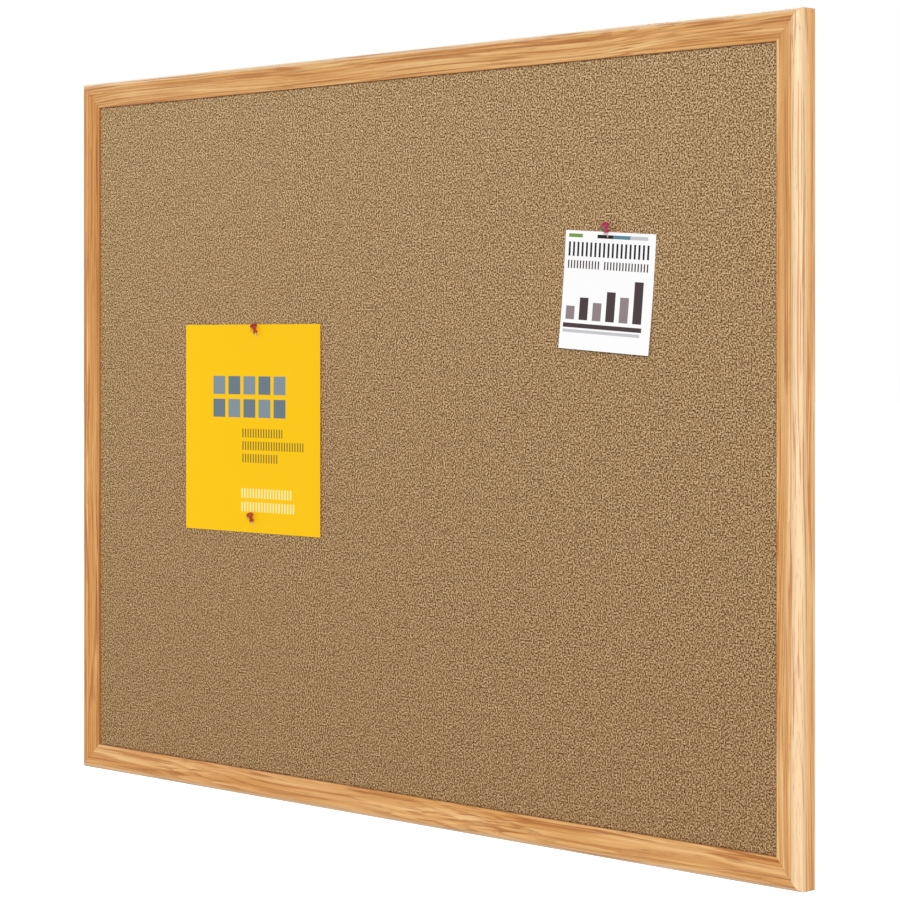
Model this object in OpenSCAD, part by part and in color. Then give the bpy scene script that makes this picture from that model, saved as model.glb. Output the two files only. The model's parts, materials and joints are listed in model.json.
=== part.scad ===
// Wall-hung cork bulletin board in a mitred hardwood frame, with two papers held by push pins.
// +X is the board's width, +Z is up, and the cork faces -Y. The origin is the centre of the frame.

/* [Board] */
// Overall width of the framed board
board_w = 1219.2; // [1000:0.1:1830]
// Overall height of the framed board
board_h = 914.4; // [800:0.1:1220]

/* [Frame moulding] */
// Depth of the moulding from the bead's crest to the back
frame_d = 27.5; // [26:0.5:36]
// Width of the moulding's face
face_w = 33; // [30:0.5:45]
// Radius of the bead's rounded outer edge
bead_r = 8; // [6:0.5:8.5]
// Width of the bead, from the outer edge to the groove beside it
bead_w = 12.2; // [11.5:0.1:13]
// Drop from the bead's crest to the face beside it
bead_step = 1.3; // [0.8:0.1:2]
// How far the inner lip lies behind the bead's crest
lip_setback = 4; // [3.5:0.1:5]
// Thickness of the lip in front of the cork
lip_t = 2.4; // [1.5:0.1:4]
// Width of the flat inner lip
lip_w = 4.6; // [3:0.1:7]
// Width of the rabbet that the panel sits in
rabbet_w = 10; // [8:0.5:14]

/* [Panel] */
// Thickness of the cork sheet
cork_t = 3.2; // [2.8:0.1:5]
// Thickness of the soft fibre core
core_t = 10; // [6:0.5:12]
// Thickness of the hardboard backing
backing_t = 3; // [2:0.5:4]
// Gap between the panel's edge and the rabbet's wall
panel_gap = 1; // [0.5:0.5:3]

/* [Frame fixings] */
// Length of each leg of a corner V-nail
vnail_leg = 6; // [4:0.5:6]
// Depth of a corner V-nail
vnail_d = 10; // [6:1:15]
// Thickness of a V-nail's steel
vnail_t = 0.6; // [0.4:0.1:1]
// Number of panel points along the top and along the bottom
points_across = 6; // [3:1:10]
// Number of panel points along each side
points_up = 4; // [2:1:8]
// Length of a panel point, half of it in the wood
point_l = 16; // [12:1:18]
// Width of a panel point
point_w = 8; // [5:1:12]
// Thickness of a panel point
point_t = 0.7; // [0.5:0.1:1.2]

/* [Hangers] */
// Height of the rings' pivot below the board's top edge
hanger_drop = 157; // [80:1:300]
// Width of the hanger strap
strap_w = 11; // [9:0.5:12]
// Length of the hanger strap below the pivot
strap_l = 46; // [44:1:60]
// Thickness of the strap's steel
strap_t = 1; // [0.8:0.1:1.2]
// Half the ring's width, to the middle of its wire
ring_r = 9; // [8.5:0.1:9.5]
// Diameter of the ring's wire
ring_wire_d = 2.4; // [2:0.1:2.6]
// Radial clearance of a running fit
running_fit = 0.05; // [0.02:0.01:0.1]

/* [Wall bumpers] */
// Diameter of a bumper
bumper_d = 16; // [12:1:20]
// Thickness of a bumper
bumper_h = 5; // [5:0.5:8]
// Distance of a bumper from the board's side
bumper_inset = 70; // [45:1:150]

/* [Papers] */
// Thickness of the papers
paper_t = 0.25; // [0.1:0.05:0.5]
// Width of the poster
poster_w = 258; // [200:1:300]
// Height of the poster
poster_h = 261; // [245:1:300]
// Place of the poster's middle across the board
poster_x = -263.5; // [-300:0.5:-200]
// Height of the poster's middle above the board's middle
poster_z = 3.5; // [-1:0.5:8]
// Width of the flyer
flyer_w = 134; // [100:1:150]
// Height of the flyer
flyer_h = 132; // [130:1:160]
// Angle at which the flyer hangs, clockwise seen from the front
flyer_turn = 3.8; // [0:0.1:8]
// Drop from the flyer's pin to the flyer's middle
flyer_drop = 61.4; // [50:0.1:61.5]
// Gap between the cork and the flyer, which turns on its pin
flyer_gap = 0.3; // [0.2:0.1:0.4]

/* [Push pins] */
// Angle of the pins above the cork's surface
pin_rise = 30; // [29:1:60]
// Lean of the pins to the right of upright
pin_turn = 13; // [0:1:30]
// Diameter of the needle
needle_d = 1.2; // [1:0.1:1.4]
// Length of bare needle between the paper and the handle
needle_out = 5.8; // [5.7:0.1:8]
// Length of needle below the paper
needle_in = 6.2; // [3:0.1:6.4]
// Length of needle held inside the handle
needle_held = 5; // [3:0.5:7]
// Diameter of the handle's cap
cap_d = 9.4; // [8:0.1:10]
// Thickness of the handle's cap
cap_t = 1.4; // [1:0.1:2]
// Diameter of the handle's lower flange
flange_d = 6; // [5:0.1:6]
// Thickness of the handle's lower flange
flange_t = 1.3; // [1:0.1:2]
// Diameter of the handle at its waist
waist_d = 3.2; // [2.8:0.1:3.6]
// Length of the handle
handle_l = 10; // [9:0.5:12]

/* [Hidden] */
$fn = 64;
// Overshoot of a cutting solid
cut = 1;

// Depths, from the front of the frame to its back
front_y = -frame_d / 2;
back_y = frame_d / 2;
cork_y = front_y + lip_setback + lip_t;
core_y = cork_y + cork_t;
backing_y = core_y + core_t;
points_y = backing_y + backing_t;

// Moulding: the bead's inner flank, groove beside it, shallow cove, and the step down to the lip
groove_w = 2.6;
groove_d = 0.7;
groove_x = bead_step + groove_d;
groove_slope = groove_w / groove_d;
groove_over = 0.2;
crest_w = 0.6;
flank_y = bead_r + crest_w;
flank_r = (pow(bead_w - flank_y, 2) + pow(groove_x, 2)) / (2 * groove_x);
lip_step = 0.8;
lip_start = face_w - lip_w;
cove_sag = 0.4;
cove_a = [bead_step, bead_w + groove_w];
cove_b = [lip_setback - lip_step, lip_start];
cove_chord = norm(cove_b - cove_a);
cove_r = pow(cove_chord, 2) / (8 * cove_sag) + cove_sag / 2;
cove_dir = (cove_b - cove_a) / cove_chord;
cove_centre = (cove_a + cove_b) / 2 + (cove_r - cove_sag) * [-cove_dir[1], cove_dir[0]];
arris_r = 0.8;
solid_w = face_w - rabbet_w;

// Panel sheets, cut a little smaller than the rabbet
panel_w = board_w - 2 * (solid_w + panel_gap);
panel_h = board_h - 2 * (solid_w + panel_gap);

// Corner V-nails, set along each mitre and driven just under the surface
vnail_places = [8, 15];
vnail_spread = 60;
vnail_sunk = 0.5;

// Panel points
point_inset = 120;
point_tip = 4;
point_corner = 1;

// Hangers, on each stile's back and a little inside its middle, so that the rings stay behind it
hanger_in = 3.5;
hanger_x = board_w / 2 - solid_w / 2 - hanger_in;
hanger_z = board_h / 2 - hanger_drop;
wire_r = ring_wire_d / 2;
barrel_bore_r = wire_r + running_fit;
barrel_r = barrel_bore_r + strap_t;
barrel_gap = 0.35;
barrel_off = barrel_r + barrel_gap;
ring_corner_r = 2.5;
ring_leg = 8;
screw_places = [27, 39];
screw_r = 1.75;
screw_hole_r = 2.1;
screw_head_r = 3.3;
screw_head_h = 2.2;
screw_dome_r = 4.4;
screw_l = 15;
screw_tip = 4;
recess_w = 0.9;
recess_l = 3.8;
recess_d = 1.2;

bumper_edge_r = 1.2;

// Where each pin goes through its paper: across, depth and height
poster_paper_y = cork_y - paper_t / 2;
flyer_paper_y = cork_y - flyer_gap - paper_t / 2;
poster_top_pin = [-256.5, poster_paper_y, 119.5];
poster_bottom_pin = [-263.5, poster_paper_y, -117];
flyer_pin = [338, flyer_paper_y, 228];
pins = [poster_top_pin, poster_bottom_pin, flyer_pin];
needle_r = needle_d / 2;
needle_tip = 1.8;
flyer_hole_r = 1.7;
edge_r = 0.5;
neck_l = 1.6;
cone_flare = 1;

// ---- Frame ----

// Section of the moulding: x runs from the front to the back, y from the outer edge inwards
module moulding_section() {
    difference() {
        square([frame_d, face_w]);
        // rabbet for the panel
        translate([lip_setback + lip_t, solid_w])
            square([frame_d, rabbet_w + cut]);
        // rounded outer bead
        difference() {
            translate([-cut, -cut])
                square(bead_r + cut);
            translate([bead_r, bead_r])
                circle(bead_r);
        }
        // groove, and the bead's inner flank that rolls down into it
        difference() {
            polygon([
                [-cut, flank_y], [groove_x + groove_over, flank_y],
                [groove_x + groove_over, bead_w - groove_over * groove_slope],
                [-cut, bead_w + (groove_x + cut) * groove_slope]
            ]);
            translate([flank_r, flank_y])
                circle(flank_r);
        }
        // shallow cove that slopes back from the groove to the lip
        intersection() {
            translate(cove_centre)
                circle(cove_r, $fn = 256);
            translate([-cut, bead_w])
                square([lip_setback + cut, lip_start + cut - bead_w]);
        }
        // step down to the lip
        translate([-cut, lip_start])
            square([lip_setback + cut, lip_w + cut]);
        // softened edges of the lip and of the outer back corner
        translate([lip_setback, face_w])
            arris([1, -1]);
        translate([frame_d, 0])
            arris([-1, 1]);
    }
}

// What comes off a square corner to round it; dir points from the corner into the wood
module arris(dir) {
    flip_x = dir[0] < 0 ? 1 : 0;
    flip_y = dir[1] < 0 ? 1 : 0;
    mirror([flip_x, 0])
        mirror([0, flip_y])
            difference() {
                translate([-cut, -cut])
                    square(arris_r + cut);
                translate([arris_r, arris_r])
                    circle(arris_r);
            }
}

// One length of moulding along X, mitred at both ends, its outer edge on z = 0
module moulding(length) {
    difference() {
        translate([-length / 2, front_y, 0])
            rotate([90, 0, 90])
                linear_extrude(length)
                    moulding_section();
        for (end = [0, 1])
            mirror([end, 0, 0])
                translate([length / 2, 0, 0])
                    rotate([0, -45, 0])
                        translate([0, -frame_d, -2 * face_w])
                            cube([2 * face_w, 2 * frame_d, 4 * face_w]);
    }
}

module vnail_outline() {
    for (side = [-1, 1])
        rotate(side * vnail_spread)
            translate([0, -vnail_t / 2])
                square([vnail_leg, vnail_t]);
}

// The eight V-nails; open_above also clears the wood over them, where they are sunk
module vnails(open_above) {
    for (mx = [0, 1], mz = [0, 1])
        mirror([mx, 0, 0])
            mirror([0, 0, mz])
                for (place = vnail_places)
                    translate([place - board_w / 2, back_y - vnail_sunk + open_above, place - board_h / 2])
                        rotate([90, 0, 0])
                            linear_extrude(vnail_d + open_above)
                                rotate(45)
                                    vnail_outline();
}

// One panel point lying on the backing, its tip in the wall of the rabbet below z = 0
module panel_point() {
    translate([0, points_y + point_t, 0])
        rotate([90, 0, 0])
            linear_extrude(point_t)
                polygon([
                    [0, -point_l / 2], [point_w / 2, point_tip - point_l / 2],
                    [point_w / 2, point_l / 2 - point_corner],
                    [point_w / 2 - point_corner, point_l / 2],
                    [point_corner - point_w / 2, point_l / 2],
                    [-point_w / 2, point_l / 2 - point_corner],
                    [-point_w / 2, point_tip - point_l / 2]
                ]);
}

module point_row(length, count, wall) {
    span = length - 2 * point_inset;
    for (i = [0:count - 1])
        translate([-span / 2 + span * i / (count - 1), 0, -wall])
            panel_point();
}

module panel_point_set() {
    for (turn = [0, 180])
        rotate([0, turn, 0])
            point_row(board_w, points_across, board_h / 2 - solid_w);
    for (turn = [90, -90])
        rotate([0, turn, 0])
            point_row(board_h, points_up, board_w / 2 - solid_w);
}

// What is cut out of the frame's wood for the steel that is driven into it
module frame_cuts() {
    vnails(vnail_sunk + cut);
    panel_point_set();
    at_screws()
        cylinder(h = 2 * screw_l, r = screw_r, center = true);
}

module rail(flip) {
    difference() {
        mirror([0, 0, flip])
            translate([0, 0, -board_h / 2])
                moulding(board_w);
        frame_cuts();
    }
}

module stile(turn) {
    difference() {
        rotate([0, turn, 0])
            translate([0, 0, -board_w / 2])
                moulding(board_h);
        frame_cuts();
    }
}

module top_rail() {
    color([0.84, 0.63, 0.40])
        rail(1);
}

module bottom_rail() {
    color([0.84, 0.63, 0.40])
        rail(0);
}

module left_stile() {
    color([0.82, 0.60, 0.37])
        stile(90);
}

module right_stile() {
    color([0.85, 0.65, 0.43])
        stile(-90);
}

module corner_vnails() {
    color([0.6, 0.6, 0.62])
        vnails(0);
}

// ---- Panel ----

module sheet(y, thickness) {
    translate([-panel_w / 2, y, -panel_h / 2])
        cube([panel_w, thickness, panel_h]);
}

module cork_sheet() {
    color([0.64, 0.51, 0.36])
        difference() {
            sheet(cork_y, cork_t);
            needle_holes(pins);
        }
}

module fiber_core() {
    color([0.55, 0.45, 0.33])
        sheet(core_y, core_t);
}

module backing_board() {
    color([0.42, 0.28, 0.17])
        sheet(backing_y, backing_t);
}

module panel_points() {
    color([0.7, 0.7, 0.72])
        panel_point_set();
}

// ---- Hangers ----

// Puts its child at the pivot of the hanger on one side: -1 left, 1 right
module at_hanger(side) {
    translate([side * hanger_x, back_y, hanger_z])
        children();
}

// Puts its child at each screw's head, with +Z out of the back
module at_screws() {
    for (side = [-1, 1], place = screw_places)
        at_hanger(side)
            translate([0, strap_t, -place])
                rotate([-90, 0, 0])
                    children();
}

module hanger_strap(side) {
    end_r = strap_w / 2;
    at_hanger(side)
        difference() {
            union() {
                translate([0, strap_t, 0])
                    rotate([90, 0, 0])
                        linear_extrude(strap_t) {
                            translate([-end_r, end_r - strap_l])
                                square([strap_w, strap_l - end_r]);
                            translate([0, end_r - strap_l])
                                circle(end_r);
                        }
                translate([0, barrel_off, 0])
                    rotate([0, 90, 0])
                        cylinder(h = strap_w, r = barrel_r, center = true);
            }
            translate([0, barrel_off, 0])
                rotate([0, 90, 0])
                    cylinder(h = strap_w + 2 * cut, r = barrel_bore_r, center = true);
            for (place = screw_places)
                translate([0, 0, -place])
                    rotate([90, 0, 0])
                        cylinder(h = 4 * strap_t, r = screw_hole_r, center = true);
        }
}

// D-shaped ring of round wire, its straight bar in the barrel and its bow hanging below
module hanger_ring(side) {
    at_hanger(side)
        translate([0, barrel_off, 0]) {
            rotate([0, 90, 0])
                cylinder(h = 2 * (ring_r - ring_corner_r), r = wire_r, center = true);
            for (end = [0, 1])
                mirror([end, 0, 0]) {
                    translate([ring_r - ring_corner_r, 0, -ring_corner_r])
                        rotate([90, 0, 0])
                            rotate_extrude(angle = 90)
                                translate([ring_corner_r, 0])
                                    circle(wire_r);
                    translate([ring_r, 0, -ring_leg])
                        cylinder(h = ring_leg - ring_corner_r, r = wire_r);
                }
            translate([0, 0, -ring_leg])
                rotate([90, 0, 0])
                    rotate([0, 0, 180])
                        rotate_extrude(angle = 180)
                            translate([ring_r, 0])
                                circle(wire_r);
        }
}

module left_hanger_strap() {
    color([0.72, 0.72, 0.74])
        hanger_strap(-1);
}

module right_hanger_strap() {
    color([0.72, 0.72, 0.74])
        hanger_strap(1);
}

module hanger_screw() {
    difference() {
        union() {
            rotate_extrude()
                intersection() {
                    square([screw_head_r, screw_head_h]);
                    translate([0, screw_head_h - screw_dome_r])
                        circle(screw_dome_r);
                }
            translate([0, 0, screw_tip - screw_l])
                cylinder(h = screw_l - screw_tip, r = screw_r);
            translate([0, 0, -screw_l])
                cylinder(h = screw_tip, r1 = 0, r2 = screw_r);
        }
        for (turn = [0, 90])
            rotate([0, 0, turn])
                translate([-recess_l / 2, -recess_w / 2, screw_head_h - recess_d])
                    cube([recess_l, recess_w, recess_d + cut]);
    }
}

module hanger_screws() {
    color([0.75, 0.75, 0.77])
        at_screws()
            hanger_screw();
}

module left_hanger_ring() {
    color([0.78, 0.78, 0.8])
        hanger_ring(-1);
}

module right_hanger_ring() {
    color([0.78, 0.78, 0.8])
        hanger_ring(1);
}

// ---- Wall bumpers ----

module bumper() {
    rotate([-90, 0, 0])
        rotate_extrude() {
            square([bumper_d / 2, bumper_h - bumper_edge_r]);
            square([bumper_d / 2 - bumper_edge_r, bumper_h]);
            translate([bumper_d / 2 - bumper_edge_r, bumper_h - bumper_edge_r])
                circle(bumper_edge_r);
        }
}

module wall_bumpers() {
    color([0.15, 0.15, 0.15])
        for (sx = [-1, 1], sz = [-1, 1])
            translate([
                sx * (board_w / 2 - bumper_inset), back_y, sz * (board_h / 2 - solid_w / 2)
            ])
                bumper();
}

// ---- Papers ----

module poster_sheet() {
    color([0.99, 0.80, 0.10])
        difference() {
            translate([poster_x, poster_paper_y, poster_z])
                cube([poster_w, paper_t, poster_h], center = true);
            needle_holes([poster_top_pin, poster_bottom_pin]);
        }
}

module flyer_sheet() {
    color([0.96, 0.96, 0.96])
        difference() {
            translate(flyer_pin - [0, 0, flyer_drop])
                rotate([0, flyer_turn, 0])
                    cube([flyer_w, paper_t, flyer_h], center = true);
            translate(flyer_pin)
                rotate([90, 0, 0])
                    cylinder(h = 4 * paper_t, r = flyer_hole_r, center = true);
        }
}

// ---- Push pins ----

// Puts its child at a pin's place in the paper, with +Z along the pin towards its cap
module at_pin(place) {
    translate(place)
        rotate([pin_rise, pin_turn, 0])
            children();
}

module needle_holes(places) {
    for (place = places)
        at_pin(place)
            translate([0, 0, -2 * needle_in])
                cylinder(h = 4 * needle_in, r = needle_r + running_fit);
}

// Half section of the handle: flange, waist, flared neck and cap
module handle_section() {
    cap_z = handle_l - cap_t;
    cone_z = cap_z - neck_l;
    cone_r = waist_d / 2 + cone_flare;
    rim_r = cap_t / 2;
    square([flange_d / 2 - edge_r, flange_t]);
    translate([0, edge_r])
        square([flange_d / 2, flange_t - 2 * edge_r]);
    for (z = [edge_r, flange_t - edge_r])
        translate([flange_d / 2 - edge_r, z])
            circle(edge_r);
    polygon([
        [0, flange_t / 2], [waist_d / 2 + edge_r, flange_t / 2], [waist_d / 2, flange_t + neck_l],
        [cone_r, cone_z], [0, cone_z]
    ]);
    difference() {
        translate([0, cone_z])
            square([cone_r + neck_l, neck_l]);
        translate([cone_r + neck_l, cone_z])
            circle(neck_l);
    }
    translate([0, cap_z])
        square([cap_d / 2 - rim_r, cap_t]);
    translate([cap_d / 2 - rim_r, cap_z + rim_r])
        circle(rim_r);
}

module pin_handle(place) {
    at_pin(place)
        translate([0, 0, needle_out])
            difference() {
                rotate_extrude()
                    handle_section();
                translate([0, 0, -cut])
                    cylinder(h = needle_held + cut, r = needle_r);
            }
}

module pin_needle(place) {
    at_pin(place) {
        translate([0, 0, needle_tip - needle_in])
            cylinder(h = needle_in - needle_tip + needle_out + needle_held, r = needle_r);
        translate([0, 0, -needle_in])
            cylinder(h = needle_tip, r1 = 0, r2 = needle_r);
    }
}

module poster_top_pin_handle() {
    color([0.80, 0.12, 0.28])
        pin_handle(poster_top_pin);
}

module poster_top_pin_needle() {
    color([0.8, 0.8, 0.82])
        pin_needle(poster_top_pin);
}

module poster_bottom_pin_handle() {
    color([0.80, 0.12, 0.28])
        pin_handle(poster_bottom_pin);
}

module poster_bottom_pin_needle() {
    color([0.8, 0.8, 0.82])
        pin_needle(poster_bottom_pin);
}

module flyer_pin_handle() {
    color([0.80, 0.12, 0.38])
        pin_handle(flyer_pin);
}

module flyer_pin_needle() {
    color([0.8, 0.8, 0.82])
        pin_needle(flyer_pin);
}

top_rail();
bottom_rail();
left_stile();
right_stile();
corner_vnails();
cork_sheet();
fiber_core();
backing_board();
panel_points();
left_hanger_strap();
right_hanger_strap();
hanger_screws();
left_hanger_ring();
right_hanger_ring();
wall_bumpers();
poster_sheet();
flyer_sheet();
poster_top_pin_handle();
poster_top_pin_needle();
poster_bottom_pin_handle();
poster_bottom_pin_needle();
flyer_pin_handle();
flyer_pin_needle();
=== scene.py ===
"""Looks of the cork bulletin board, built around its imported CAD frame.

Metres, in the part's own frame: +X runs along the board, +Z is up and the cork faces -Y.
"""

import json
import math

import bpy
from mathutils import Euler, Matrix, Vector


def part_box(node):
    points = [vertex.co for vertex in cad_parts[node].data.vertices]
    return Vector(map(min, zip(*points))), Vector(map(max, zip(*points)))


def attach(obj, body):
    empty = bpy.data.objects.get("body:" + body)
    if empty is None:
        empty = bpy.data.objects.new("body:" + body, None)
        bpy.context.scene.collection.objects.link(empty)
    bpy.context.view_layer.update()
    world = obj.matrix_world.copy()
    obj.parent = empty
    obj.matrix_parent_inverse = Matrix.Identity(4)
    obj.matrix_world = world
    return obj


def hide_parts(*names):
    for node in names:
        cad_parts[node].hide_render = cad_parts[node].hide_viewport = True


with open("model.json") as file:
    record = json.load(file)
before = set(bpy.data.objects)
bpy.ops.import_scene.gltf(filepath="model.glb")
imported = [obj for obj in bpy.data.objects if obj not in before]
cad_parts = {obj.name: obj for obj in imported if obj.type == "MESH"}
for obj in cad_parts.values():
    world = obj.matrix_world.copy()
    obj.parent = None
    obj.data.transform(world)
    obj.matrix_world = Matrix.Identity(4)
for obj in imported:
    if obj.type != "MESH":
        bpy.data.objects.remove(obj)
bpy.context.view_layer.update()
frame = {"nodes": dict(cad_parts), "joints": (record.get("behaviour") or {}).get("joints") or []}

MM = 0.001
JOINTS = {joint["name"]: joint for joint in frame["joints"]}


# ---- Camera, light and floor ----

# The camera is level and looks at the board from its right side, a little above its middle
CAMERA_YAW = 45.56
CAMERA_PLACE = (2.4209, -2.2934, 0.1086)
CAMERA_LENS = 112.14
CAMERA_SENSOR = 36.0
CAMERA_REACH = 200.0
# the view is shifted down by this share of the picture's width, so that upright edges stay upright
CAMERA_DROP = -0.117
FLOOR_HEIGHT = -1.5
FLOOR_HALF = 60.0
FLOOR_GLOW = 0.5
# how much of the white world's light falls on the board
AMBIENT = 0.6
# azimuth, rise, strength and width of each light, with angles in degrees
KEY = (47, 14, 2.1, 14)
BACK = (215, 42, 1.5, 24)


def make_camera():
    data = bpy.data.cameras.new("camera")
    data.lens = CAMERA_LENS
    data.sensor_width = CAMERA_SENSOR
    data.shift_y = CAMERA_DROP
    data.clip_end = CAMERA_REACH
    camera = bpy.data.objects.new("camera", data)
    camera.location = CAMERA_PLACE
    camera.rotation_euler = (math.radians(90), 0, math.radians(CAMERA_YAW))
    bpy.context.scene.collection.objects.link(camera)
    bpy.context.scene.camera = camera


def sun(name, azimuth, rise, strength, width):
    """A soft distant light. Its azimuth turns from the board's front towards its right."""
    data = bpy.data.lights.new(name, "SUN")
    data.energy = strength
    data.angle = math.radians(width)
    light = bpy.data.objects.new(name, data)
    light.rotation_euler = (math.radians(90 - rise), 0, math.radians(azimuth))
    bpy.context.scene.collection.objects.link(light)


def make_studio():
    world = bpy.data.worlds.new("studio")
    world.use_nodes = True
    nodes, links = world.node_tree.nodes, world.node_tree.links
    # the world looks plain white, but lights the board with less than it shows
    path = nodes.new("ShaderNodeLightPath")
    strength = nodes.new("ShaderNodeMapRange")
    strength.inputs["To Min"].default_value = 1.0
    strength.inputs["To Max"].default_value = AMBIENT
    links.new(path.outputs["Is Diffuse Ray"], strength.inputs["Value"])
    background = nodes["Background"]
    background.inputs["Color"].default_value = (1, 1, 1, 1)
    links.new(strength.outputs["Result"], background.inputs["Strength"])
    bpy.context.scene.world = world
    bpy.context.scene.view_settings.view_transform = "Standard"
    sun("key", *KEY)
    sun("back", *BACK)


# ---- Node helper ----


def paint(red, green, blue):
    """An 8-bit sRGB colour as the linear RGBA that a shader takes."""
    return (*(((c / 255 + 0.055) / 1.055) ** 2.4 for c in (red, green, blue)), 1)


class Surface:
    """A material built on the Principled shader, with short calls for its nodes.

    Every value given to a call is a number, a colour or another node's output.
    """

    def __init__(self, name):
        self.material = bpy.data.materials.new(name)
        self.material.use_nodes = True
        self.tree = self.material.node_tree
        self.shader = self.tree.nodes["Principled BSDF"]

    def node(self, kind, values, output=0, **settings):
        made = self.tree.nodes.new(kind)
        for name, value in settings.items():
            setattr(made, name, value)
        for key, value in values.items():
            self.plug(made.inputs[key], value)
        return made.outputs[output]

    def plug(self, socket, value):
        if isinstance(value, bpy.types.NodeSocket):
            self.tree.links.new(value, socket)
        else:
            socket.default_value = value

    def finish(self, **values):
        """Sets the shader's own inputs, by name with spaces as underscores, and returns the material."""
        for name, value in values.items():
            self.plug(self.shader.inputs[name.replace("_", " ")], value)
        return self.material

    def math(self, operation, *values):
        return self.node("ShaderNodeMath", dict(enumerate(values)), operation=operation)

    def place(self, turn=(0, 0, 0), shift=(0, 0, 0)):
        """Where the point is on its piece, in metres, turned and shifted."""
        at = self.node("ShaderNodeTexCoord", {}, output="Object")
        return self.node(
            "ShaderNodeMapping", {"Vector": at, "Rotation": Euler(turn), "Location": shift}
        )

    def split(self, vector):
        parts = self.tree.nodes.new("ShaderNodeSeparateXYZ")
        self.plug(parts.inputs[0], vector)
        return parts.outputs

    def stretch(self, vector, factors):
        return self.node("ShaderNodeVectorMath", {0: vector, 1: factors}, operation="MULTIPLY")

    def noise(self, vector, scale=1.0, detail=2.0, output=0):
        values = {"Vector": vector, "Scale": scale, "Detail": detail}
        return self.node("ShaderNodeTexNoise", values, output)

    def cells(self, vector, scale, output, feature="F1"):
        values = {"Vector": vector, "Scale": scale}
        return self.node("ShaderNodeTexVoronoi", values, output, feature=feature)

    def spread(self, value, low, high, to_low=0.0, to_high=1.0):
        """value, with low..high brought to to_low..to_high and clamped there."""
        values = {0: value, 1: low, 2: high, 3: to_low, 4: to_high}
        return self.node("ShaderNodeMapRange", values)

    def ramp(self, factor, *stops):
        """Colours along a ramp; each stop is (position, colour)."""
        made = self.tree.nodes.new("ShaderNodeValToRGB")
        elements = made.color_ramp.elements
        while len(elements) < len(stops):
            elements.new(1.0)
        for element, (position, colour) in zip(elements, stops):
            element.position = position
            element.color = colour
        self.plug(made.inputs[0], factor)
        return made.outputs[0]

    def mix(self, factor, first, second, blend="MIX"):
        values = {0: factor, 6: first, 7: second}
        return self.node("ShaderNodeMix", values, 2, data_type="RGBA", blend_type=blend)

    def bump(self, height, depth, strength=1.0):
        """Relief of the given depth in metres, for a height from 0 to 1."""
        values = {"Height": height, "Distance": depth, "Strength": strength}
        return self.node("ShaderNodeBump", values)

    def inside(self, x, z, side, top):
        """How far a point is inside the edge of an upright rectangle, side and top from its middle."""
        from_side = self.math("SUBTRACT", side, self.math("ABSOLUTE", x))
        from_top = self.math("SUBTRACT", top, self.math("ABSOLUTE", z))
        return self.math("MINIMUM", from_side, from_top)


# ---- Oak ----

# where the frame's outer edges and its lip's edges are, from the board's middle
FRAME_SIDE, FRAME_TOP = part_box("right_stile")[1].x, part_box("top_rail")[1].z
LIP_SIDE, LIP_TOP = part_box("right_stile")[0].x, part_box("top_rail")[0].z
FRAME_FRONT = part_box("right_stile")[0].y
FACE_WIDE = FRAME_SIDE - LIP_SIDE
BEAD_DEEP = 8.0 * MM

# the wood's tones as 8-bit sRGB, before a piece's tint scales them
# the first tone is the pale colour of the painted highlight on the beads
OAK_BEAD_SHEEN = (233, 207, 168)
OAK_STRAW = (240, 195, 134)
OAK_TAN = (221, 165, 98)
OAK_AMBER = (208, 144, 68)
OAK_EARLY = (170, 96, 22)
OAK_PORE = (120, 62, 12)

# how many marks each pattern has to the metre, along the log and then across it both ways
DRIFT_PACE = (2.5, 11, 11)
PATCH_PACE = (1.8, 40, 40)
STREAK_PACE = (3.2, 120, 120)
LINE_PACE = (4, 350, 350)
FIBRE_PACE = (6, 400, 400)
PORE_PACE = (60, 1500, 1500)
# how far the grain drifts, in metres, and how slowly the rings change along the log
DRIFT_REACH = (0, 0.022, 0.022)
RING_STRETCH = (0.05, 1, 1)
RING_SCALE = 125.0
# how strongly each mark shows, from 0 to 1
PATCH_SHOWS = 0.4
LINE_SHOWS = 0.7
PORE_SHOWS = 0.5
# the lip's mark is painted shade on its inner edge
LIP_SHADE_SHOWS = 0.7
MITRE_SHOWS = 0.45
# what the wood's own mottle is made of
FIBRE_SHARE, STREAK_SHARE = 0.45, 0.55
OAK_RELIEF = 0.12 * MM

# How each length was cut and coloured. turn and shift bring the log's pith onto X, tint scales the
# piece's tones, darkest on the left stile, the next key is how strongly a painted highlight pales its
# bead, and strip is how wide.
UPRIGHT = math.pi / 2
CUTS = {
    "top_rail": {
        "turn": (0, 0.004, 0.010),
        "shift": (0.4, 0.045, -0.466),
        "tint": (0.985, 0.985, 0.97),
        "sheen_share": 0.6,
        "strip": 6 * MM,
    },
    "bottom_rail": {
        "turn": (0, -0.005, -0.012),
        "shift": (1.7, -0.05, 0.468),
        "tint": (0.98, 0.975, 0.95),
        "sheen_share": 0.3,
        "strip": 6 * MM,
    },
    "left_stile": {
        "turn": (0.012, UPRIGHT + 0.006, 0),
        "shift": (3.1, 0.05, -0.54),
        "tint": (0.93, 0.895, 0.8),
        "sheen_share": 0.1,
        "strip": 4.5 * MM,
    },
    "right_stile": {
        "turn": (-0.010, UPRIGHT - 0.006, 0),
        "shift": (5.2, 0.06, 0.655),
        "tint": (1.02, 1.03, 1.04),
        "sheen_share": 0.62,
        "strip": 12.5 * MM,
    },
}


def log_place(s, turn, shift):
    """Where a point was in the log, in metres, with a grain that wanders slowly along it."""
    at = s.place(turn, shift)
    drift = s.noise(s.stretch(at, DRIFT_PACE), detail=1.5, output=1)
    drift = s.node("ShaderNodeVectorMath", {0: drift, 1: (0.5, 0.5, 0.5)}, operation="SUBTRACT")
    drift = s.stretch(drift, DRIFT_REACH)
    return s.node("ShaderNodeVectorMath", {0: drift, 1: at}, operation="ADD")


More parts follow.
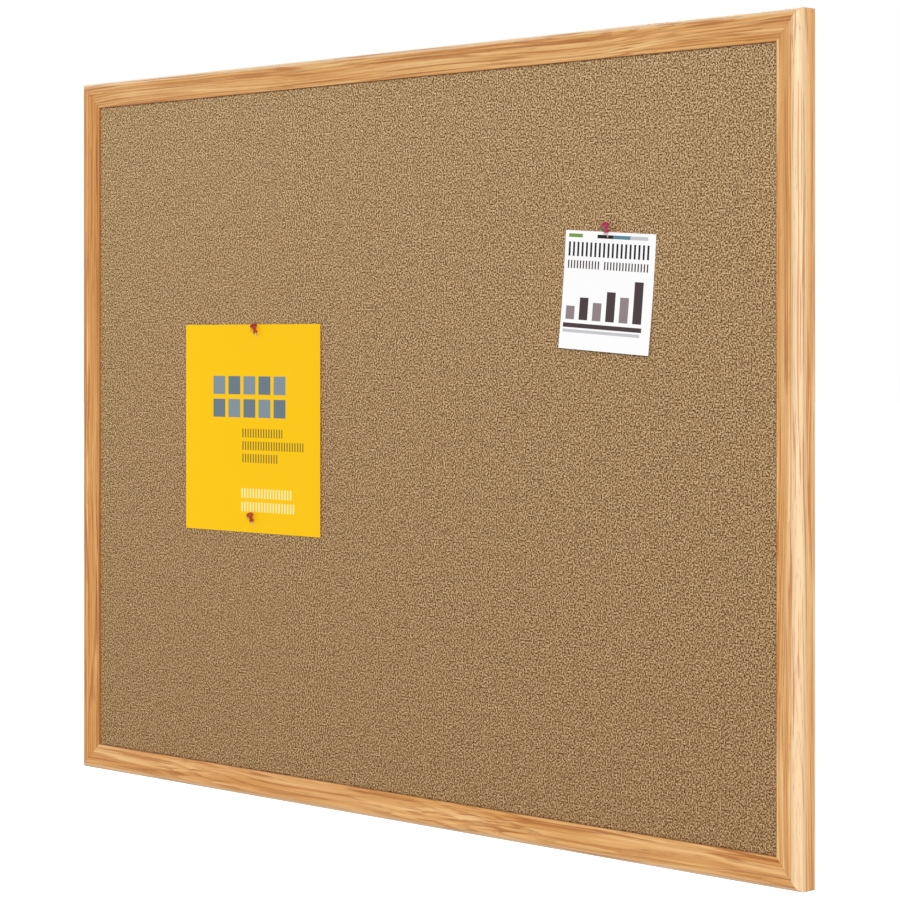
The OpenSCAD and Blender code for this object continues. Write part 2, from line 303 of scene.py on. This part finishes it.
def growth_rings(s, grain):
    """Rises from 0 to 1 across each growth ring."""
    values = {
        "Vector": s.stretch(grain, RING_STRETCH),
        "Scale": RING_SCALE,
        "Distortion": 1.4,
        "Detail": 3.0,
        "Detail Scale": 0.5,
    }
    settings = {"wave_type": "RINGS", "rings_direction": "X", "wave_profile": "SAW"}
    return s.node("ShaderNodeTexWave", values, 1, **settings)


def oak_tones(tint):
    """The wood's tones scaled by a piece's tint, from the palest to the pores."""
    tones = (OAK_BEAD_SHEEN, OAK_STRAW, OAK_TAN, OAK_AMBER, OAK_EARLY, OAK_PORE)
    return [
        paint(*(min(255, part * share) for part, share in zip(tone, tint))) for tone in tones
    ]


def painted_bead_sheen(s, y, from_edge, strip):
    """1 on the strip of the bead that gets a painted highlight, fading to 0 beside it and behind it."""
    beside = s.spread(from_edge, 0.8 * strip, strip, 1.0, 0.0)
    behind = s.spread(y, FRAME_FRONT + 0.8 * BEAD_DEEP, FRAME_FRONT + 2.6 * BEAD_DEEP, 1.0, 0.0)
    return s.math("MULTIPLY", beside, behind)


def mitre_line(s, x, z):
    """How strongly the hairline shows where the mitred pieces meet."""
    inward = s.math("SUBTRACT", s.math("ABSOLUTE", x), s.math("ABSOLUTE", z))
    off_mitre = s.math("ABSOLUTE", s.math("SUBTRACT", inward, FRAME_SIDE - FRAME_TOP))
    return s.spread(off_mitre, 0.1 * MM, 0.4 * MM, MITRE_SHOWS, 0.0)


def oak(name, turn, shift, tint, sheen_share, strip):
    """Lacquered flat-sawn oak; CUTS says what a length's own values mean."""
    s = Surface(name)
    pale, straw, tan, amber, early, pore = oak_tones(tint)
    grain = log_place(s, turn, shift)
    # each ring has a dark porous band
    porous = s.spread(growth_rings(s, grain), 0.5, 0.97)
    fibre = s.noise(s.stretch(grain, FIBRE_PACE), detail=5)
    streaks = s.noise(s.stretch(grain, STREAK_PACE), detail=2.5)
    patches = s.noise(s.stretch(grain, PATCH_PACE), detail=1.5)
    lines = s.spread(s.noise(s.stretch(grain, LINE_PACE), detail=2.5), 0.54, 0.61)
    pores = s.spread(s.noise(s.stretch(grain, PORE_PACE), detail=1), 0.55, 0.68)
    pores = s.math("MULTIPLY", pores, s.spread(porous, 0, 1, 0.15, 0.9))

    fibre_part = s.math("MULTIPLY", fibre, FIBRE_SHARE)
    weave = s.math("ADD", fibre_part, s.math("MULTIPLY", streaks, STREAK_SHARE))
    colour = s.ramp(weave, (0.38, amber), (0.5, tan), (0.62, straw))
    colour = s.mix(s.spread(patches, 0.4, 0.62, 0.0, PATCH_SHOWS), colour, amber)
    banding = s.math("MULTIPLY", porous, s.spread(streaks, 0.35, 0.6, 0.75, 0.2))
    colour = s.mix(banding, colour, early)
    # the bead is paler, with a painted highlight along it
    x, y, z = s.split(s.node("ShaderNodeTexCoord", {}, output="Object"))
    from_edge = s.inside(x, z, FRAME_SIDE, FRAME_TOP)
    colour = s.mix(s.math("MULTIPLY", painted_bead_sheen(s, y, from_edge, strip), sheen_share), colour, pale)
    colour = s.mix(s.math("MULTIPLY", lines, LINE_SHOWS), colour, early)
    colour = s.mix(s.math("MULTIPLY", pores, PORE_SHOWS), colour, pore)
    # painted shade darkens the lip's inner edge, where it meets the cork
    painted_lip_shade = s.spread(from_edge, FACE_WIDE - 0.9 * MM, FACE_WIDE - 0.2 * MM, 0.0, LIP_SHADE_SHOWS)
    colour = s.mix(painted_lip_shade, colour, early)
    mitre = mitre_line(s, x, z)
    colour = s.mix(mitre, colour, pore)

    relief = s.math("SUBTRACT", s.math("MULTIPLY", fibre, 0.5), s.math("ADD", pores, mitre))
    return s.finish(
        Base_Color=colour,
        Roughness=s.spread(fibre, 0.3, 0.7, 0.4, 0.5),
        Specular_IOR_Level=0.35,
        Coat_Weight=0.4,
        Coat_Roughness=0.4,
        Normal=s.bump(relief, OAK_RELIEF, 0.5),
    )


# ---- Cork ----

# how many of each there are to the metre, and the share that the first three have in the grain
CHIPS = 540.0
GRANULES = 1450.0
CRUMBS = 1.9 * GRANULES
CLOUDS = 70.0
CHIP_SHARE, GRANULE_SHARE, CRUMB_SHARE = 0.6, 0.25, 0.15
# how strongly the clouds and the painted shadow at the lip show, from 0 to 1
CLOUD_SHOWS = 0.16
LIP_SHADOW_SHOWS = 0.4
CORK_RELIEF = 0.25 * MM
# from bark to the palest chips, with each tone's place in the grain
CORK_TONES = (
    (0.25, paint(98, 66, 36)),
    (0.4, paint(150, 120, 82)),
    (0.52, paint(192, 165, 128)),
    (0.64, paint(222, 199, 163)),
    (0.8, paint(250, 234, 204)),
)
CORK_CLOUD = paint(140, 112, 84)
# painted shadow where the sheet goes in behind the lip
CORK_LIP_SHADOW = paint(52, 34, 18)
# the sheet's tints at its bottom and its top: painted light, shaded below and lit above
CORK_SHADED_BOTTOM = paint(216, 197, 172)
CORK_LIT_TOP = paint(238, 226, 206)


def cork():
    """Pressed cork: pale chips and dark bark of about two millimetres, with fine granules in them."""
    s = Surface("cork")
    # the sheet's face lies on y = 0 here, where the chips' noise is most even
    at = s.place(shift=(0, -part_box("cork_sheet")[0].y, 0))
    chips = s.spread(s.noise(at, CHIPS, detail=0), 0.25, 0.75)
    granules = s.split(s.cells(at, GRANULES, "Color"))[0]
    crumbs = s.split(s.cells(at, CRUMBS, "Color"))[1]
    granules_part = s.math("MULTIPLY", granules, GRANULE_SHARE)
    fine = s.math("ADD", granules_part, s.math("MULTIPLY", crumbs, CRUMB_SHARE))
    grain = s.math("ADD", s.math("MULTIPLY", chips, CHIP_SHARE), fine)
    colour = s.ramp(grain, *CORK_TONES)
    clouds = s.spread(s.noise(at, CLOUDS, detail=3), 0.3, 0.7, 0.0, CLOUD_SHOWS)
    colour = s.mix(clouds, colour, CORK_CLOUD, "MULTIPLY")
    # paler towards the top with painted light from above, and dark with painted shadow where the sheet
    # goes in behind the lip
    x, _, z = s.split(at)
    painted_top_light = s.ramp(s.spread(z, -LIP_TOP, LIP_TOP), (0.0, CORK_SHADED_BOTTOM), (1.0, CORK_LIT_TOP))
    colour = s.mix(1.0, colour, painted_top_light, "MULTIPLY")
    from_lip = s.inside(x, z, LIP_SIDE, LIP_TOP)
    painted_lip_shadow = s.spread(from_lip, 0.4 * MM, 2.2 * MM, LIP_SHADOW_SHOWS, 0.0)
    colour = s.mix(painted_lip_shadow, colour, CORK_LIP_SHADOW)

    seams = s.spread(s.cells(at, GRANULES, "Distance", feature="DISTANCE_TO_EDGE"), 0.0, 0.3)
    return s.finish(
        Base_Color=colour,
        Roughness=s.spread(crumbs, 0, 1, 0.78, 0.95),
        Specular_IOR_Level=0.2,
        Normal=s.bump(seams, CORK_RELIEF, 0.5),
    )


# ---- The other materials ----

# the wire screen's pitch on the hardboard's back
SCREEN_PITCH = 1.6 * MM


def fiberboard():
    """Soft wood fibre, grey brown and loose."""
    s = Surface("fiberboard")
    at = s.place()
    fibre = s.noise(s.stretch(at, (300, 900, 300)), detail=6)
    return s.finish(
        Base_Color=s.ramp(fibre, (0.3, paint(112, 92, 68)), (0.7, paint(158, 134, 104))),
        Roughness=0.95,
        Normal=s.bump(fibre, 0.3 * MM, 0.7),
    )


def hardboard():
    """Brown hardboard, its back marked by the press's wire screen."""
    s = Surface("hardboard")
    at = s.place()
    x, _, z = s.split(s.stretch(at, (2 * math.pi / SCREEN_PITCH,) * 3))
    screen = s.math("MULTIPLY", s.math("SINE", x), s.math("SINE", z))
    screen = s.spread(screen, -1, 1)
    fibre = s.noise(s.stretch(at, (260, 260, 260)), detail=6)
    cloud = s.noise(at, 9, 3)
    colour = s.ramp(fibre, (0.3, paint(84, 54, 34)), (0.7, paint(128, 88, 58)))
    clouded = s.spread(cloud, 0.35, 0.65, 0.0, 0.5)
    colour = s.mix(clouded, colour, paint(212, 190, 170), "MULTIPLY")
    pressed = s.spread(screen, 0.2, 0.6, 0.25, 0.0)
    colour = s.mix(pressed, colour, paint(62, 40, 26))
    return s.finish(
        Base_Color=colour,
        Roughness=s.spread(fibre, 0.3, 0.7, 0.6, 0.8),
        Normal=s.bump(s.math("ADD", screen, s.math("MULTIPLY", fibre, 0.4)), 0.2 * MM, 0.6),
    )


def zinc_steel():
    """Bright zinc plate: faint cloudy spangle and fine handling scratches."""
    s = Surface("zinc_steel")
    at = s.place()
    spangle = s.split(s.cells(at, 320, "Color"))[0]
    scratches = s.noise(s.stretch(at, (240, 240, 2600)), detail=3)
    rough = s.spread(scratches, 0.3, 0.7, 0.2, 0.36)
    return s.finish(
        Base_Color=s.ramp(spangle, (0.0, paint(186, 188, 192)), (1.0, paint(214, 214, 216))),
        Metallic=1.0,
        Roughness=s.math("ADD", rough, s.math("MULTIPLY", spangle, 0.08)),
        Normal=s.bump(scratches, 0.02 * MM, 0.5),
    )


def black_rubber():
    """Matt black rubber with a dusting of pale bloom."""
    s = Surface("black_rubber")
    at = s.place()
    bloom = s.noise(at, 260, 4)
    return s.finish(
        Base_Color=s.ramp(bloom, (0.35, paint(24, 24, 25)), (0.75, paint(58, 57, 56))),
        Roughness=s.spread(bloom, 0.3, 0.7, 0.62, 0.82),
        Normal=s.bump(s.noise(at, 1500, 2), 0.05 * MM, 0.5),
    )


def pin_plastic(name, deep, bright):
    """Glossy moulded plastic that a little light soaks into."""
    s = Surface(name)
    at = s.place()
    flow = s.noise(at, 350, 2)
    return s.finish(
        Base_Color=s.ramp(flow, (0.35, deep), (0.7, bright)),
        Roughness=s.spread(flow, 0.3, 0.7, 0.14, 0.24),
        Subsurface_Weight=0.15,
        Subsurface_Radius=(0.0020, 0.0006, 0.0008),
        Coat_Weight=0.4,
        Coat_Roughness=0.08,
        Normal=s.bump(flow, 0.04 * MM, 0.4),
    )


def needle_steel():
    """Polished steel wire with fine drawing marks."""
    s = Surface("needle_steel")
    at = s.place()
    marks = s.noise(s.stretch(at, (3000, 3000, 500)), detail=2)
    return s.finish(
        Base_Color=s.ramp(marks, (0.3, paint(196, 197, 200)), (0.7, paint(226, 226, 228))),
        Metallic=1.0,
        Roughness=s.spread(marks, 0.3, 0.7, 0.12, 0.24),
        Normal=s.bump(marks, 0.01 * MM, 0.5),
    )


# ---- Print on the papers ----

# A mark's place is (left, top, width, height) in mm, from the sheet's upper left corner. The last
# number of a row of ticks is their pitch, of which each tick fills TICK_SHARE.
TICK_SHARE = 0.45


def bar(s, x, y, left, top, width, height):
    """1 inside a square-cornered bar."""
    aside = s.math("ABSOLUTE", s.math("SUBTRACT", x, left + width / 2))
    above = s.math("ABSOLUTE", s.math("SUBTRACT", y, top + height / 2))
    inside = s.math("LESS_THAN", aside, width / 2)
    return s.math("MULTIPLY", inside, s.math("LESS_THAN", above, height / 2))


def ticks(s, x, y, left, top, width, height, pitch):
    """1 on a row of upright ticks, which stands for a word."""
    within = s.math("MODULO", s.math("SUBTRACT", x, left), pitch)
    on_tick = s.math("LESS_THAN", within, TICK_SHARE * pitch)
    return s.math("MULTIPLY", on_tick, bar(s, x, y, left, top, width, height))


def paper(name, size, ground, marks):
    """Coated paper printed with marks, each (shape, place, colour, extras)."""
    s = Surface(name)
    at = s.place()
    across, _, up = s.split(s.stretch(at, (1 / MM,) * 3))
    x = s.math("ADD", across, size[0] / MM / 2)
    y = s.math("SUBTRACT", size[1] / MM / 2, up)
    fibre = s.noise(at, 2200, 4)
    cloud = s.noise(at, 28, 3)
    colour = s.mix(s.spread(fibre, 0.3, 0.7, 0.0, 0.06), ground, paint(150, 140, 130), "MULTIPLY")
    for shape, place, ink, *extras in marks:
        colour = s.mix(shape(s, x, y, *place, *extras), colour, ink)
    return s.finish(
        Base_Color=colour,
        Roughness=s.spread(cloud, 0.35, 0.65, 0.55, 0.65),
        Specular_IOR_Level=0.15,
        Normal=s.bump(s.math("ADD", fibre, cloud), 0.04 * MM, 0.4),
    )


def poster_marks():
    slate, dusk = paint(127, 143, 152), paint(104, 120, 130)
    olive, cream = paint(128, 112, 38), paint(255, 240, 170)
    tile, tile_pitch = 23, 29
    marks = []
    for row in range(2):
        for column in range(5):
            place = (53 + tile_pitch * column, 65 + tile_pitch * row, tile, tile)
            marks.append((bar, place, (slate, dusk)[(row + column) % 2]))
    for row, length in enumerate((77, 119, 70)):
        marks.append((ticks, (109, 131 + 15.8 * row, length, 11), olive, 5))
    for row, length in enumerate((96, 104)):
        marks.append((ticks, (107, 206 + 17 * row, length, 12), cream, 5.5))
    return marks


def flyer_marks():
    green, black, teal = paint(118, 150, 72), paint(30, 30, 32), paint(88, 130, 146)
    mauve, plum, grey = paint(142, 128, 130), paint(72, 58, 60), paint(196, 196, 200)
    marks = [
        (bar, (5, 3.5, 21, 4), green),
        (bar, (48, 3.5, 23.5, 4), black),
        (bar, (71.5, 3.5, 25.5, 4), teal),
        (bar, (97, 3.5, 26, 4), grey),
        (ticks, (5.5, 12.5, 121, 16), black, 6.5),
        (ticks, (5.5, 33, 48, 9), plum, 4.5),
        (ticks, (60, 33, 66, 9), plum, 4.5),
    ]
    chart_left, chart_foot, bar_pitch, bar_wide = 7, 99, 20, 13
    for column, height in enumerate((15, 25, 20, 33, 28, 46)):
        place = (chart_left + bar_pitch * column, chart_foot - height, bar_wide, height)
        marks.append((bar, place, (mauve, plum)[column % 2]))
    marks.append((bar, (4, 103, 117, 5), plum))
    marks.append((bar, (4, 110, 115, 3.5), grey))
    return marks


# ---- Papers ----

PAPER_STEPS = 40
HOLE_SIDES = 32
SHARP_EDGE = math.radians(40)
POSTER_HOLE = 0.8 * MM
POSTER_ROLL = 2.2 * MM
FLYER_HOLE = 1.7 * MM
FLYER_CURL = 3.5 * MM
FLYER_TURN = math.radians(3.8)
# the flyer stays flat this far below its pin
FLYER_FLAT = 15 * MM


def sheet_size(node, turn):
    """Width and height of a flat rectangular node that is turned about Y."""
    low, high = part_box(node)
    wide, tall = high.x - low.x, high.z - low.z
    c, s = math.cos(turn), math.sin(turn)
    share = c * c - s * s
    return (wide * c - tall * s) / share, (tall * c - wide * s) / share


def applied(piece):
    """Makes the piece's modifiers part of its mesh."""
    evaluated = piece.evaluated_get(bpy.context.evaluated_depsgraph_get())
    piece.data = bpy.data.meshes.new_from_object(evaluated)
    piece.modifiers.clear()


def punch(piece, place, axis, radius):
    """Cuts a round hole through a sheet where a needle passes."""
    turn = Vector(axis).to_track_quat("Z", "Y").to_matrix().to_4x4()
    mesh = bpy.data.meshes.new("cutter")
    rim = [
        (radius * math.cos(a), radius * math.sin(a))
        for a in (2 * math.pi * i / HOLE_SIDES for i in range(HOLE_SIDES))
    ]
    reach = 6 * radius
    verts = [(x, y, z) for z in (-reach, reach) for x, y in rim]
    n = HOLE_SIDES
    faces = [(i, (i + 1) % n, n + (i + 1) % n, n + i) for i in range(n)]
    faces += [tuple(reversed(range(n))), tuple(range(n, 2 * n))]
    mesh.from_pydata(verts, [], faces)
    cutter = bpy.data.objects.new("cutter", mesh)
    cutter.matrix_world = Matrix.Translation(place) @ turn
    bpy.context.scene.collection.objects.link(cutter)
    hole = piece.modifiers.new("hole", "BOOLEAN")
    hole.object = cutter
    hole.solver = "EXACT"
    bpy.context.view_layer.update()
    applied(piece)
    bpy.data.objects.remove(cutter)


def make_paper(name, node, turn, lift, material, holes):
    """A thin sheet in its CAD solid's place; lift(x, z) is how far a point stands off the cork."""
    low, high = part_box(node)
    width, height = sheet_size(node, turn)
    thickness = high.y - low.y
    steps = [i / PAPER_STEPS - 0.5 for i in range(PAPER_STEPS + 1)]
    verts = [(width * u, -lift(width * u, height * v), height * v) for v in steps for u in steps]
    row = PAPER_STEPS + 1
    faces = [
        (j * row + i, j * row + i + 1, (j + 1) * row + i + 1, (j + 1) * row + i)
        for j in range(PAPER_STEPS)
        for i in range(PAPER_STEPS)
    ]
    mesh = bpy.data.meshes.new(name)
    mesh.from_pydata(verts, [], faces)
    piece = bpy.data.objects.new(name, mesh)
    piece.matrix_world = Matrix.Translation((low + high) / 2) @ Matrix.Rotation(turn, 4, "Y")
    bpy.context.scene.collection.objects.link(piece)
    solid = piece.modifiers.new("thickness", "SOLIDIFY")
    solid.thickness = thickness
    solid.offset = 0
    bpy.context.view_layer.update()
    applied(piece)
    for place, axis, radius in holes:
        punch(piece, place, axis, radius)
    piece.data.polygons.foreach_set("use_smooth", [True] * len(piece.data.polygons))
    piece.data.set_sharp_from_angle(angle=SHARP_EDGE)
    piece.data.materials.clear()
    piece.data.materials.append(material)
    return piece


def pin_entry(pin, depth):
    """Where a pin's needle crosses the plane y = depth, and the needle's direction."""
    low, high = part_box(f"{pin}_needle")
    axis = Vector(JOINTS[f"{pin}_pull"]["axis"])
    middle = (low + high) / 2
    return middle + axis * (depth - middle.y) / axis.y, axis


def make_poster():
    low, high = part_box("poster_sheet")
    middle = (low + high) / 2
    size = sheet_size("poster_sheet", 0)
    entries = [pin_entry(f"poster_{end}_pin", middle.y) for end in ("top", "bottom")]
    spine = sum(place.x for place, _ in entries) / 2 - middle.x

    def lift(x, z):
        # rolled about the upright line through its two pins
        return POSTER_ROLL * ((x - spine) / (size[0] / 2)) ** 2

    material = paper("poster_paper", size, paint(250, 197, 4), poster_marks())
    holes = [(place, axis, POSTER_HOLE) for place, axis in entries]
    poster = make_paper("poster", "poster_sheet", 0, lift, material, holes)
    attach(poster, "board")
    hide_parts("poster_sheet")


def make_flyer():
    size = sheet_size("flyer_sheet", FLYER_TURN)
    pivot = Vector(JOINTS["flyer_turn"]["pos_m"])
    low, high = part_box("flyer_sheet")
    flat_above = (pivot - (low + high) / 2).length - FLYER_FLAT

    def lift(x, z):
        # flat round its pin, then curling off the cork towards its free bottom edge
        free = max(0.0, flat_above - z) / (flat_above + size[1] / 2)
        return FLYER_CURL * free**2

    material = paper("flyer_paper", size, paint(250, 250, 250), flyer_marks())
    holes = [(pivot, (0, 1, 0), FLYER_HOLE)]
    flyer = make_paper("flyer", "flyer_sheet", FLYER_TURN, lift, material, holes)
    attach(flyer, "flyer")
    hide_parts("flyer_sheet")


# ---- Dressing the CAD nodes ----


def dress():
    """Gives every CAD node its material."""
    steel, needle = zinc_steel(), needle_steel()
    red = pin_plastic("pin_plastic", paint(146, 10, 28), paint(176, 20, 44))
    magenta = pin_plastic("pin_plastic_magenta", paint(156, 16, 72), paint(186, 30, 94))
    looks = {piece: oak("oak_" + piece.split("_")[0], **cut) for piece, cut in CUTS.items()}
    looks |= {
        "cork_sheet": cork(),
        "fiber_core": fiberboard(),
        "backing_board": hardboard(),
        "wall_bumpers": black_rubber(),
        "flyer_pin_handle": magenta,
    }
    by_ending = {"handle": red, "needle": needle}
    for name, node in frame["nodes"].items():
        ending = name.rsplit("_", 1)[-1]
        material = looks.get(name) or by_ending.get(ending, steel)
        node.data.materials.clear()
        node.data.materials.append(material)


def make_floor():
    s = Surface("floor")
    cloud = s.noise(s.place(), 1.5, 3)
    material = s.finish(
        Base_Color=s.ramp(cloud, (0.3, paint(244, 244, 243)), (0.7, paint(248, 248, 247))),
        Roughness=0.85,
        Emission_Color=(1, 1, 1, 1),
        Emission_Strength=FLOOR_GLOW,
    )
    mesh = bpy.data.meshes.new("floor")
    turns = ((-1, -1), (1, -1), (1, 1), (-1, 1))
    corners = [(FLOOR_HALF * x, FLOOR_HALF * y, FLOOR_HEIGHT) for x, y in turns]
    mesh.from_pydata(corners, [], [(0, 1, 2, 3)])
    mesh.materials.append(material)
    floor = bpy.data.objects.new("floor", mesh)
    # seen, but throwing no light of its own up at the board
    floor.visible_diffuse = False
    floor.visible_glossy = False
    bpy.context.scene.collection.objects.link(floor)


make_camera()
make_studio()
make_floor()
dress()
make_poster()
make_flyer()
